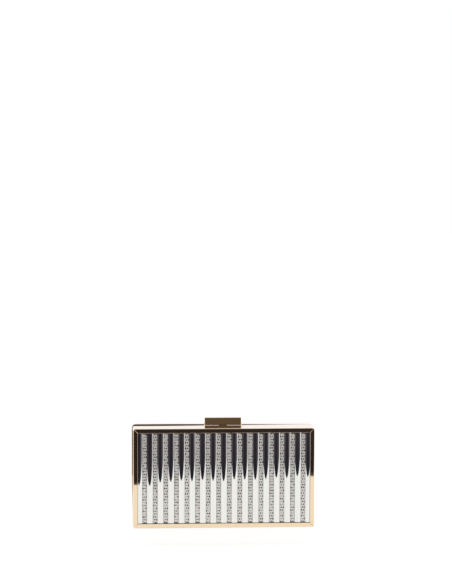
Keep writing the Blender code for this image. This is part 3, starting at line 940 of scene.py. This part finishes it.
def rib_tree():
    """Domed ribs on a row of points. Each point's lean bends its rib into a slight S."""
    sizes = {label: "Float" for label in ("Width", "Length", "Foot", "Crown", "Height", "Limit")}
    tree, wires = new_tree("domed_ribs", {**sizes, "Material": "Material"})
    width, crown, height, limit = [wires[label] for label in ("Width", "Crown", "Height", "Limit")]
    flat = add_node(tree, "GeometryNodeMeshGrid", {}, {
        "Size X": width, "Size Y": wires["Length"], "Vertices X": RIB_GRID[0], "Vertices Y": RIB_GRID[1]})
    raised = add_node(tree, "GeometryNodeExtrudeMesh", {}, {
        "Mesh": flat, "Offset": vector(tree, Z=wires["Foot"]), "Individual": False})
    across = position(tree)[0]
    radius = (width * width * 0.25 + crown * crown) / (crown * 2)
    rise = (radius * radius - across * across) ** 0.5 - radius + crown
    dome = moved(tree, raised, Selection=raised.beside("Top"), Offset=vector(tree, Z=rise))
    base = add_node(tree, "GeometryNodeFlipFaces", {}, {"Mesh": flat})
    both = add_node(tree, "GeometryNodeJoinGeometry", {}, {"Geometry": base})
    tree.links.new(dome.socket, both.socket.node.inputs[0])
    rib = add_node(tree, "GeometryNodeMergeByDistance", {}, {"Geometry": both, "Distance": WELD})
    row = realised(tree, copies(tree, wires["Geometry"], rib, (RIGHT_ANGLE, 0, 0)))
    x, y, z = position(tree)
    lean = add_node(tree, "GeometryNodeInputNamedAttribute", {"data_type": "FLOAT"}, {"Name": "lean"})
    bent = y + lean * height / math.tau * ((z / height - 0.5) * math.tau).math("SINE")
    limited = x.math("MAXIMUM", 0 - limit).math("MINIMUM", limit)
    end_tree(tree, moved(tree, row, Position=vector(tree, X=limited, Y=bent, Z=z)), wires["Material"])
    return tree


def rib_points(foot_gap):
    """One point for each rib, in the middle of its back, with how far it leans back."""
    mesh = bpy.data.meshes.new("rib_points")
    middle = (len(rib_names) - 1) / 2
    z = panel_middle + foot_gap / 2
    places = [((index - middle) * panel_pitch, rib_high.y, z) for index in range(len(rib_names))]
    mesh.from_pydata(places, [], [])
    leans = mesh.attributes.new("lean", "FLOAT", "POINT")
    for index, lean in enumerate(RIB_LEANS):
        leans.data[index].value = math.tan(math.radians(lean))
    return mesh


class CLUTCH_OT_ribs(bpy.types.Operator):
    """Make the domed mirror ribs of the front"""

    bl_idname = "clutch.ribs"
    bl_label = "Ribs"

    def execute(self, context):
        settings = context.scene.clutch_panel
        silver = silver_finish(settings)
        values = {
            "Width": rib_high.x - rib_low.x, "Length": panel_length - settings.foot_gap,
            "Foot": settings.foot, "Crown": settings.crown, "Height": case_height, "Material": silver,
            "Limit": (len(rib_names) - 1) / 2 * panel_pitch + settings.end_part,
        }
        mesh = smooth(grow("ribs", rib_tree(), values, rib_points(settings.foot_gap)))
        add_piece("ribs", mesh, silver, "front_half", rib_names)
        return {"FINISHED"}


# A stone's girdle, crown and table: shares of its height and radius, turn in steps, points for each side
STONE_SIDES = 6
STONE_LEVELS = ((0, 1.0, 0, 2), (0.60, 0.94, 0.5, 1), (1.0, 0.84, 0, 1))
# A cup's foot as a share of its own radius, and its hollow as a share of the stone's
CUP_FOOT_SHARE = 1.02
CUP_HOLLOW_SHARE = 0.9
CUP_SIDES = 8


def stone_mesh(settings):
    """A stone with a table, stars, kites and upper girdle facets, standing up on its girdle."""
    bm = bmesh.new()
    rings = []
    for rise, reach, shift, parts in STONE_LEVELS:
        ring = circle(reach * settings.stone_radius, STONE_SIDES * parts, shift)
        rings.append([bm.verts.new((x, y, settings.stone_rise * rise)) for x, y in ring])
    girdle, crown, table = rings
    bm.faces.new(girdle)
    bm.faces.new(table)
    for i in range(len(girdle)):
        bm.faces.new((girdle[i], girdle[(i + 1) % len(girdle)], crown[i // 2]))
    for i in range(STONE_SIDES):
        j = (i + 1) % STONE_SIDES
        bm.faces.new((crown[i], table[j], table[i]))
        bm.faces.new((crown[i], girdle[2 * j], crown[j], table[j]))
    return mesh_from("stone", bm)


def cup_mesh(settings):
    """A low silver cup under a stone."""
    foot, hollow = settings.cup_radius * CUP_FOOT_SHARE, settings.stone_radius * CUP_HOLLOW_SHARE
    levels = ((foot, 0), (settings.cup_radius, settings.cup_height), (hollow, settings.cup_height))
    return mesh_from("cup", skin([[(x, y, z) for x, y in circle(radius, CUP_SIDES)] for radius, z in levels]))


def crystal_tree():
    """Strips of staggered rows of one shape, each turned and tilted by chance. Each copy keeps a darkness for
    painted reflections: by chance, and more in every third row.
    """
    sizes = {label: "Float" for label in (
        "Strip Pitch", "Column Pitch", "Row Pitch", "Depth", "Middle", "Tilt", "Spin")}
    counts = {label: "Int" for label in ("Strips", "Columns", "Rows", "Seed")}
    tree, wires = new_tree("crystal_strips", {**sizes, **counts, "Shape": "Object", "Material": "Material"})
    strips, spacing, middle, seed = [wires[label] for label in ("Strips", "Strip Pitch", "Middle", "Seed")]
    columns, rows, column_pitch, row_pitch = [
        wires[label] for label in ("Columns", "Rows", "Column Pitch", "Row Pitch")]

    def row_at(along):
        """Number of the row at a distance from the strip's middle."""
        return (along / row_pitch + (rows - 1) * 0.5).math("ROUND")

    line = add_node(tree, "GeometryNodeMeshLine", {"mode": "OFFSET"}, {
        "Count": strips, "Offset": vector(tree, X=spacing),
        "Start Location": vector(tree, X=(1 - strips) * spacing * 0.5, Y=wires["Depth"], Z=middle)})
    grid = add_node(tree, "GeometryNodeMeshGrid", {}, {
        "Size X": (columns - 1) * column_pitch, "Size Y": (rows - 1) * row_pitch,
        "Vertices X": columns, "Vertices Y": rows})
    odd = row_at(position(tree)[1]).math("MODULO", 2)
    staggered = moved(tree, grid, Offset=vector(tree, X=(odd - 0.5) * column_pitch * 0.5))
    places = realised(tree, copies(tree, line, staggered, (RIGHT_ANGLE, 0, 0)))
    tilt, spin = wires["Tilt"], wires["Spin"]
    least = vector(tree, X=RIGHT_ANGLE - tilt, Y=0 - spin, Z=0 - tilt)
    most = vector(tree, X=tilt + RIGHT_ANGLE, Y=spin, Z=tilt)
    turn = chance(tree, "FLOAT_VECTOR", Min=least, Max=most, Seed=seed)
    shape = add_node(tree, "GeometryNodeObjectInfo", {}, {"Object": wires["Shape"]}, "Geometry")
    stones = copies(tree, places, shape, turn)
    # Painted reflections: every third row, and some stones by chance, are marked darker.
    third = row_at(position(tree)[2] - middle).math("MODULO", 3)
    dark = chance(tree, "FLOAT", Seed=seed + 1) * 0.5 + (1 - third.step(0, 1)) * 0.5
    marked = realised(tree, stored(tree, stones, "INSTANCE", "stone", dark))
    end_tree(tree, stored(tree, marked, "FACE", "facet", chance(tree, "FLOAT", Seed=seed)), wires["Material"])
    return tree


def merge(bm, other):
    """Add another bmesh's solid to this one."""
    mesh = bpy.data.meshes.new("part")
    other.to_mesh(mesh)
    other.free()
    bm.from_mesh(mesh)
    bpy.data.meshes.remove(mesh)


def strip_bars(settings, spans, height):
    """Bars along every strip, in one bmesh. spans gives their sides as distances from the strip's left."""
    bm = bmesh.new()
    for index in range(len(strip_names)):
        left = strip_low.x + index * panel_pitch
        for start, end in spans:
            merge(bm, block((left + start, strip_high.y - height, strip_low.z + settings.foot_gap),
                            (left + end, strip_high.y, strip_high.z)))
    return bm


def bed_mesh(settings):
    """The glue bed of each strip, between its rails."""
    span = (settings.rail_width, strip_high.x - strip_low.x - settings.rail_width)
    return mesh_from("strip_beds", strip_bars(settings, [span], settings.bed_height))


def rail_mesh(settings):
    """The thin silver edges along both sides of each strip."""
    width, rail = strip_high.x - strip_low.x, settings.rail_width
    bm = strip_bars(settings, [(0, rail), (width - rail, width)], settings.rail_height)
    upright = [edge for edge in bm.edges if abs(edge.verts[0].co.z - edge.verts[1].co.z) > case_height / 2]
    bmesh.ops.bevel(bm, geom=upright, offset=rail / 3, segments=2, affect="EDGES")
    return mesh_from("strip_rails", bm)


class CLUTCH_OT_crystals(bpy.types.Operator):
    """Make the crystal strips: stones, cups, rails and glue beds"""

    bl_idname = "clutch.crystals"
    bl_label = "Crystal strips"

    def execute(self, context):
        settings = context.scene.clutch_panel
        crystal, cup, resin = crystal_finish(settings), cup_finish(settings), resin_finish(settings)
        stone, stone_turn = stone_mesh(settings), (settings.stone_tilt, math.pi)
        tree = crystal_tree()
        values = {
            "Strips": len(strip_names), "Strip Pitch": panel_pitch, "Columns": settings.columns,
            "Rows": settings.rows, "Column Pitch": settings.column_pitch, "Row Pitch": settings.row_pitch,
            "Middle": panel_middle, "Seed": settings.seed,
        }
        shapes = (
            ("crystal_stones", stone, crystal, settings.girdle_height, stone_turn, strip_names),
            ("crystal_cups", cup_mesh(settings), cup, settings.bed_height, (0.0, 0.0), []),
        )
        for name, shape, material, height, (tilt, spin), nodes in shapes:
            model = scene_object(name + "_shape", shape)
            values.update({"Depth": strip_high.y - height, "Tilt": tilt, "Spin": spin, "Shape": model,
                           "Material": material})
            mesh = grow(name, tree, values, bpy.data.meshes.new(name))
            bpy.data.objects.remove(model)
            add_piece(name, mesh, material, "front_half", nodes)
        add_piece("crystal_beds", bed_mesh(settings), resin, "front_half", [])
        add_piece("crystal_rails", rail_mesh(settings), cup, "front_half", [])
        return {"FINISHED"}


# Rear cover

# Distances of the cover's rings from its edge, close together at the edge and at the seam
COVER_INSETS = (
    0, 0.0001, 0.00025, 0.0005, 0.0008, 0.0012, 0.0017, 0.0021, 0.0025, 0.0029, 0.0032, 0.0035, 0.0039,
    0.0043, 0.0048, 0.0055, 0.0070, 0.0090, 0.0120, 0.0160, 0.0210, 0.0270, 0.0340, 0.0410,
)
# Height of the padding at its edge as a share of the height in the middle, and how steeply it rises
PADDING_EDGE_SHARE = 0.42
PADDING_POWER = 6
# Height of the outermost ring as a share of the padding's height there
TURNED_EDGE_SHARE = 0.6
# How far the stitches' middle stands above the leather, as a share of their width
STITCH_RISE_SHARE = 0.2


def cover_rise(settings, inset):
    """Height of the padded leather at a distance from its edge, with the seam drawn in."""
    crown = cover_high.y - cover_low.y
    half = (cover_high.z - cover_low.z) / 2
    puff = 1 - (1 - min(inset / half, 1)) ** PADDING_POWER
    seam = settings.seam_depth * math.exp(-((inset - settings.seam_inset) / settings.seam_half) ** 2)
    return crown * (PADDING_EDGE_SHARE + (1 - PADDING_EDGE_SHARE) * puff) - seam


def cover_mesh(settings):
    """The cover as rings from its turned-in edge to its middle."""
    half = (cover_high.z - cover_low.z) / 2
    rings = [cover_ring(settings, 0, 0), cover_ring(settings, 0, settings.turned_edge)]
    for inset in COVER_INSETS:
        edge = math.sqrt(min(inset / settings.edge_radius, 1))
        rise_share = TURNED_EDGE_SHARE + (1 - TURNED_EDGE_SHARE) * edge
        rings.append(cover_ring(settings, inset, cover_rise(settings, inset) * rise_share))
    rings.append(cover_ring(settings, half - settings.middle_half, cover_rise(settings, half)))
    return smooth(mesh_from("rear_cover_leather", skin(rings)))


def cover_ring(settings, inset, height):
    radius = max(settings.corner_radius - inset, settings.inner_corner)
    low = (cover_low.x + inset, cover_low.z + inset)
    high = (cover_high.x - inset, cover_high.z - inset)
    ring = outline(low, high, radius, steps=4, cuts=(12, 24))
    return [(x, cover_low.y + height, z) for x, z, _ in ring]


def stitch_tree():
    """Stitches along a closed line: balls of width 1, drawn out to a stitch's size."""
    sizes = {label: "Float" for label in ("Spacing", "Stitch", "Width")}
    tree, wires = new_tree("stitches", {**sizes, "Material": "Material"})
    path = add_node(tree, "GeometryNodeMeshToCurve", {}, {"Mesh": wires["Geometry"]})
    points = add_node(tree, "GeometryNodeCurveToPoints", {"mode": "LENGTH"}, {
        "Curve": path, "Length": wires["Spacing"]})
    turn = add_node(tree, "FunctionNodeAlignRotationToVector", {"axis": "X"}, {
        "Vector": points.beside("Tangent")})
    ball = add_node(tree, "GeometryNodeMeshUVSphere", {}, {"Segments": 8, "Rings": 6, "Radius": 0.5})
    size = vector(tree, X=wires["Stitch"], Y=wires["Width"], Z=wires["Width"])
    end_tree(tree, copies(tree, points, ball, turn, Scale=size), wires["Material"])
    return tree


class CLUTCH_OT_cover(bpy.types.Operator):
    """Make the padded leather cover of the rear and its stitches"""

    bl_idname = "clutch.cover"
    bl_label = "Rear cover"

    def execute(self, context):
        settings = context.scene.clutch_cover
        leather, thread = leather_finish(settings), thread_finish(settings)
        mesh = cover_mesh(settings)
        cover = add_piece("rear_cover_leather", mesh, leather, "rear_half", ["rear_cover"])
        path = bpy.data.meshes.new("seam_path")
        height = cover_rise(settings, settings.seam_inset) + settings.stitch_width * STITCH_RISE_SHARE
        ring = cover_ring(settings, settings.seam_inset, height)
        path.from_pydata(ring, [(i, (i + 1) % len(ring)) for i in range(len(ring))], [])
        values = {"Spacing": settings.stitch_spacing, "Stitch": settings.stitch,
                  "Width": settings.stitch_width, "Material": thread}
        stitches = smooth(grow("rear_cover_stitches", stitch_tree(), values, path))
        add_piece("rear_cover_stitches", stitches, thread, "rear_half", [])
        return {"FINISHED"}


# Linings

# Distance of a tray floor's first ring from the fold round it, and of its last ring from the walls
FLOOR_SUPPORT = 0.001
FLOOR_INSET = 0.03
RIM_STEPS = 8


def lining_mesh(name, settings, side, low, high):
    """A cloth-covered tray: outer walls, a folded rim, inner walls and a softly folded floor."""
    back = high.y if side > 0 else -low.y
    rim = low.y if side > 0 else -high.y
    wall, fold, bevel = settings.wall, settings.fold_radius, settings.back_bevel
    middle, floor = rim + wall / 2, back - wall
    section = [(back, bevel), (back - bevel, 0), (middle, 0)]
    for step in range(1, RIM_STEPS + 1):
        turn = math.pi * step / RIM_STEPS
        section.append((middle - wall / 2 * math.sin(turn), wall / 2 * (1 - math.cos(turn))))
    section.append((floor - fold - SUPPORT, wall))
    section += [(floor - rise, wall + inset) for rise, inset in arc(fold, steps=6)]
    section += [(floor, wall + fold + FLOOR_SUPPORT), (floor, wall + FLOOR_INSET)]
    rings = []
    for depth, inset in section:
        radius = max(settings.corner_radius - inset, settings.inner_corner)
        near, far = (low.x + inset, low.z + inset), (high.x - inset, high.z - inset)
        ring = outline(near, far, radius, steps=6, cuts=(8, 16))
        rings.append([(x, side * depth, z) for x, z, _ in ring])
    mesh = mesh_from(name, skin(rings))
    end = side * settings.notch_end
    notch = block((-settings.notch_half, min(0, end), high.z - 1.5 * wall),
                  (settings.notch_half, max(0, end), high.z + wall))
    return smooth(carve(mesh, name, notch))


class CLUTCH_OT_linings(bpy.types.Operator):
    """Make the cloth-lined trays of both halves"""

    bl_idname = "clutch.linings"
    bl_label = "Linings"

    def execute(self, context):
        settings = context.scene.clutch_lining
        cloth = cloth_finish(settings)
        for half, side in (("front", -1), ("rear", 1)):
            name = half + "_lining"
            mesh = lining_mesh(name, settings, side, *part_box(half + "_tray"))
            add_piece(name, mesh, cloth, half + "_half", [half + "_tray"])
        return {"FINISHED"}


# Clasp and fittings

# Steps of the roundings of the clasp bar
BAR_STEPS = 6
STEEL_NODES = ("hinge_pin", "clasp_pin", "clasp_bracket", "clasp_spring", "catch_plate", "bracket_screw_left",
               "bracket_screw_right", "catch_screw_left", "catch_screw_right")


class CLUTCH_OT_clasp(bpy.types.Operator):
    """Make the clasp bar, and finish its steel parts and the boards"""

    bl_idname = "clutch.clasp"
    bl_label = "Clasp and fittings"

    def execute(self, context):
        settings = context.scene.clutch_clasp
        gold = bpy.data.materials["gold_plate"]
        edge, gap = settings.edge_radius, settings.socket_gap
        lip_low = bar_low - Vector((0, 0, settings.lip_drop))
        relief_low = bar_low + Vector((0, 0, settings.relief))
        solid = rounded_bar(lip_low, bar_high, edge, BAR_STEPS, settings.face_lean)
        relief = bar_relief(relief_low, bar_high, bar_low.y + settings.lip_depth, edge, BAR_STEPS)
        socket = block((rocker_low.x - gap, settings.stem_front - gap, bar_low.z - settings.socket_rise),
                       (rocker_high.x + gap, settings.stem_back + gap, bar_low.z + settings.socket_rise))
        bar = smooth(carve(mesh_from("clasp_bar_gold", solid), "clasp_bar_gold", relief, socket))
        add_piece("clasp_bar_gold", bar, gold, "clasp", ["clasp_bar"])
        paint(STEEL_NODES, steel_finish(settings))
        paint(("clasp_rocker",), rocker_finish(settings, context.scene.clutch_frame.gold))
        paint(("front_board", "rear_board"), board_finish(settings))
        return {"FINISHED"}


# Stage

# Colours of the dark flag by height, and its brightness
FLAG_SHADES = (
    (-3, (0.022, 0.020, 0.026)), (-0.99, (0.024, 0.022, 0.029)), (-0.72, (0.044, 0.037, 0.039)),
    (-0.2, (0.114, 0.085, 0.060)), (1.1, (0.17, 0.130, 0.095)), (3.5, (0.16, 0.13, 0.11)),
    (6, (0.20, 0.175, 0.155)), (10, (0.30, 0.27, 0.25)), (16, (0.60, 0.57, 0.55)),
)
FLAG_GLOW = 0.8
# Lighter upright strips of the flag: middle and half width in degrees, and how much brighter they are
FLAG_STRIPS = ((26.5, 3.5, 5.5), (-38, 6, 3.0))
# Where a strip's soft edge begins and ends, as shares of its half width
STRIP_EDGE_SHARES = (0.6, 1.4)
CURTAIN_PARTS = 32


def rays_of(tree):
    """1 for what the camera sees, and 1 for what metal mirrors or glass lets through."""
    seen = add_node(tree, "ShaderNodeLightPath", {}, {}, "Is Camera Ray")
    return seen, seen.beside("Is Glossy Ray") + seen.beside("Is Transmission Ray")


def stage_material(name, surface, settings):
    """A material whose tree holds only what the function surface adds."""
    material = new_material(name)
    tree = material.node_tree
    tree.nodes.clear()
    output = tree.nodes.new("ShaderNodeOutputMaterial")
    tree.links.new(surface(tree, settings).socket, output.inputs["Surface"])
    return material


def floor_surface(tree, settings):
    """White. What the camera and metal see of it is mostly its own white, with the shadow left in."""
    seen, mirrored = rays_of(tree)
    matt = add_node(tree, "ShaderNodeBsdfDiffuse", {}, {"Color": (*settings.floor_paint, 1)})
    white = add_node(tree, "ShaderNodeEmission", {}, {
        "Color": mix(mirrored, (1, 1, 1), settings.floor_tint),
        "Strength": mirrored * settings.floor_shine + seen * settings.floor_white})
    own_white = (seen + mirrored) * settings.floor_share
    return add_node(tree, "ShaderNodeMixShader", {}, {"Fac": own_white, "Shader": matt, "Shader_001": white})


def flag_surface(tree, settings):
    """Dark, and warmer and lighter towards the top. Only reflections see it."""
    x, y, z = add_node(tree, "ShaderNodeTexCoord", {}, {}, "Object").split()
    span = settings.flag_high - settings.flag_low
    stops = [((height - settings.flag_low) / span, shade) for height, shade in FLAG_SHADES]
    shade = add_node(tree, "ShaderNodeValToRGB", {"stops": stops}, {"Fac": (z - settings.flag_low) / span})
    turn = x.math("ARCTAN2", 0 - y)
    bright = 1
    for middle, half, gain in FLAG_STRIPS:
        edge = [math.radians(part * half) for part in STRIP_EDGE_SHARES]
        bright = (1 - (turn - math.radians(middle)).math("ABSOLUTE").step(*edge)) * gain + bright
    return add_node(tree, "ShaderNodeEmission", {}, {"Color": shade, "Strength": bright * FLAG_GLOW})


def card_surface(tree, settings):
    """The floor's white. Only reflections see it."""
    return add_node(tree, "ShaderNodeEmission", {}, {
        "Color": (*settings.floor_tint, 1), "Strength": settings.floor_shine})


def stage_piece(name, points, material):
    """A part of the stage: a strip of four-sided faces between pairs of points."""
    mesh = bpy.data.meshes.new(name)
    faces = [(i, i + 1, i + 3, i + 2) for i in range(0, len(points) - 2, 2)]
    mesh.from_pydata(points, [], faces)
    mesh.materials.append(material)
    obj = scene_object(name, mesh)
    return obj


def add_curtain(name, settings, left, right, high, material):
    """An upright part of a wide ring round the clutch that only reflections see."""
    points = []
    for step in range(CURTAIN_PARTS + 1):
        turn = left + (right - left) * step / CURTAIN_PARTS
        x, y = settings.flag_distance * math.sin(turn), -settings.flag_distance * math.cos(turn)
        points += [(x, y, settings.flag_low), (x, y, high)]
    obj = stage_piece(name, points, material)
    obj.visible_camera = obj.visible_diffuse = obj.visible_shadow = obj.visible_transmission = False


def well_ring(settings, beyond, depth):
    """Corners of the lower floor, or of a larger ring beyond its front and sides."""
    half, near, back = settings.well_half + beyond, -settings.well_front - beyond, settings.well_back
    return [(-half, near, -depth), (half, near, -depth), (half, back, -depth), (-half, back, -depth)]


def add_floor(settings):
    """The floor, with a lower part for the open front half and a slope round that.

    Metal sees it only behind its skewed near edge.
    """
    white = stage_material("white_floor", floor_surface, settings)
    reach = settings.floor_reach
    near_left, near_right = (side * settings.floor_skew * reach - settings.floor_near for side in (1, -1))
    edge = [(-reach, near_left, 0), (reach, near_right, 0), (reach, reach, 0), (-reach, reach, 0)]
    brink, well = well_ring(settings, settings.well_slope, 0), well_ring(settings, 0, settings.well_depth)
    for name, outer, inner in (("floor", edge, brink), ("well_slope", brink, well)):
        around = [point for pair in zip(outer, inner) for point in pair]
        stage_piece(name, around + around[:2], white)
    stage_piece("well_floor", [well[0], well[1], well[3], well[2]], white)
    front = stage_piece("front_floor", [(-reach, -reach, 0), (reach, -reach, 0), edge[0], edge[1]], white)
    front.visible_glossy = False


def add_lamp(settings):
    """A soft lamp overhead that metal doesn't see, turned to the clutch."""
    lamp = scene_object("soft_lamp", bpy.data.lights.new("soft_lamp", "AREA"))
    lamp.data.shape = "DISK"
    lamp.data.size = settings.lamp_size
    lamp.data.energy = settings.lamp
    lamp.location = settings.lamp_place
    lamp.rotation_euler = (-lamp.location).to_track_quat("-Z", "Y").to_euler()
    lamp.visible_glossy = False


def add_camera(settings):
    camera = scene_object("camera", bpy.data.cameras.new("camera"))
    camera.data.lens = settings.lens
    camera.data.sensor_width = 36
    camera.data.clip_end = 100
    yaw, pitch = settings.camera_yaw, settings.camera_pitch
    forward = Vector((math.sin(yaw) * math.cos(pitch), math.cos(yaw) * math.cos(pitch), math.sin(pitch)))
    right = forward.cross(Vector((0, 0, 1))).normalized()
    lean = Matrix.Rotation(-settings.camera_roll, 3, forward)
    axes = Matrix((lean @ right, lean @ right.cross(forward), -forward)).transposed()
    camera.matrix_world = Matrix.Translation(settings.camera_place) @ axes.to_4x4()
    bpy.context.scene.camera = camera


def add_world(settings):
    """White all round: what lights the object, what the camera sees and what metal mirrors."""
    world = bpy.data.worlds.new("white_room")
    bpy.context.scene.world = world
    world.use_nodes = True
    tree = world.node_tree
    seen, mirrored = rays_of(tree)
    strength = seen * (1 - settings.sky) + mirrored * (settings.shine - settings.sky) + settings.sky
    background = tree.nodes["Background"]
    tree.links.new(mix(mirrored, (1, 1, 1), settings.shine_tint).socket, background.inputs["Color"])
    tree.links.new(strength.socket, background.inputs["Strength"])


class CLUTCH_OT_stage(bpy.types.Operator):
    """Make the camera, the floor, the dark flag, the light cards, the lamp and the white world"""

    bl_idname = "clutch.stage"
    bl_label = "Stage"

    def execute(self, context):
        settings = context.scene.clutch_stage
        left, right, end = settings.flag_left, settings.flag_right, settings.card_end
        flag = stage_material("dark_flag", flag_surface, settings)
        card = stage_material("light_card", card_surface, settings)
        add_floor(settings)
        add_curtain("dark_flag", settings, left, right, settings.flag_high, flag)
        add_curtain("left_card", settings, -end, left, settings.card_high, card)
        add_curtain("right_card", settings, right, end, settings.card_high, card)
        add_lamp(settings)
        add_camera(settings)
        add_world(settings)
        context.scene.view_settings.view_transform = "Standard"
        return {"FINISHED"}


class CLUTCH_PT_looks(bpy.types.Panel):
    """Lists the pieces and their settings"""

    bl_label = "Box clutch"
    bl_idname = "CLUTCH_PT_looks"
    bl_space_type = "VIEW_3D"
    bl_region_type = "UI"
    bl_category = "Clutch"

    def draw(self, context):
        for name, (group, operators) in GROUPS.items():
            box = self.layout.box()
            for operator in operators:
                box.operator(operator.bl_idname)
            for setting in group.__annotations__:
                box.prop(getattr(context.scene, name), setting)


# Each group of settings with the operators that read it
GROUPS = {
    "clutch_frame": (FrameSettings, [CLUTCH_OT_case]),
    "clutch_panel": (PanelSettings, [CLUTCH_OT_ribs, CLUTCH_OT_crystals]),
    "clutch_cover": (CoverSettings, [CLUTCH_OT_cover]),
    "clutch_lining": (LiningSettings, [CLUTCH_OT_linings]),
    "clutch_clasp": (ClaspSettings, [CLUTCH_OT_clasp]),
    "clutch_stage": (StageSettings, [CLUTCH_OT_stage]),
}


def register():
    for name, (group, operators) in GROUPS.items():
        for kind in (group, *operators):
            bpy.utils.register_class(kind)
        setattr(bpy.types.Scene, name, PointerProperty(type=group))
    bpy.utils.register_class(CLUTCH_PT_looks)


def unregister():
    bpy.utils.unregister_class(CLUTCH_PT_looks)
    for name, (group, operators) in reversed(GROUPS.items()):
        delattr(bpy.types.Scene, name)
        for kind in (*operators, group):
            bpy.utils.unregister_class(kind)


def main():
    register()
    for make in (bpy.ops.clutch.case, bpy.ops.clutch.ribs, bpy.ops.clutch.crystals, bpy.ops.clutch.cover,
                 bpy.ops.clutch.linings, bpy.ops.clutch.clasp, bpy.ops.clutch.stage):
        make()


if __name__ == "__main__":
    main()
